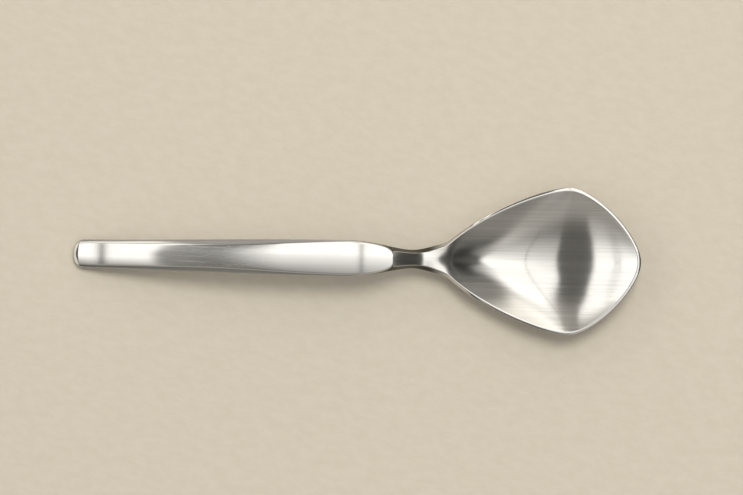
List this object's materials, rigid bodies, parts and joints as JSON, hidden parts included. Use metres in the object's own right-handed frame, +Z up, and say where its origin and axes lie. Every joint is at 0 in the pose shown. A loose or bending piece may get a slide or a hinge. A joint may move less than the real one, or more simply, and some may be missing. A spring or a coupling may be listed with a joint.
{
  "type": "sugar spoon",
  "caption": "Short steel spoon with a wide kite-shaped bowl, a slim waisted neck and a thick arched handle, for lifting sugar from a sugar bowl.",
  "frame": {"origin": "on the table, under the middle of the spoon's length", "axes": "+X from the handle's butt to the bowl's tip, +Z up out of the open bowl, +Y to the left of the handle's length"},
  "size_m": [0.123, 0.0318, 0.0119],
  "materials": {
    "bowl_steel": "satin, brushed along the spoon",
    "handle_steel": "polished, with fine scratches",
    "solder": "matt, as cast"
  },
  "bodies": {
    "root": {"bowl": "bowl_steel", "handle": "handle_steel", "tang_solder": "solder"}
  },
  "joints": []
}
